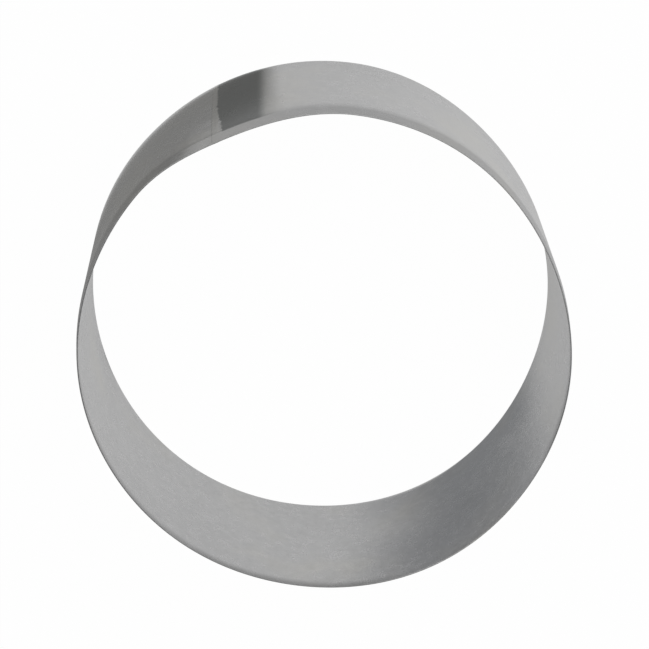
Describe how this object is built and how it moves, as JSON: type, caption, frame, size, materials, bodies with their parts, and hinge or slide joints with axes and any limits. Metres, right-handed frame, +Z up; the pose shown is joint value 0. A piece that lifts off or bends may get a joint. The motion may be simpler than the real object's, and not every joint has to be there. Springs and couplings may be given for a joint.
{
  "type": "cake ring",
  "caption": "Round open hoop of thin stainless steel strip, butt-welded, with one bevelled cutting rim, for cutting, forming and setting cakes.",
  "frame": {"origin": "centre of the hoop, in the plane of the plain rim that it rests on", "axes": "+Z up along the hoop's axis towards the bevelled rim, -Y the side nearest the camera in the picture, with the weld at 68 degrees from +X towards -Y"},
  "size_m": [0.14, 0.14, 0.06],
  "materials": {
    "satin_strip": "satin cold-rolled stainless strip with a fine grain",
    "dressed_weld": "weld metal dressed flush, slightly duller than the strip"
  },
  "bodies": {
    "root": {"rolled_band": "satin_strip", "weld_seam": "dressed_weld"}
  },
  "joints": []
}
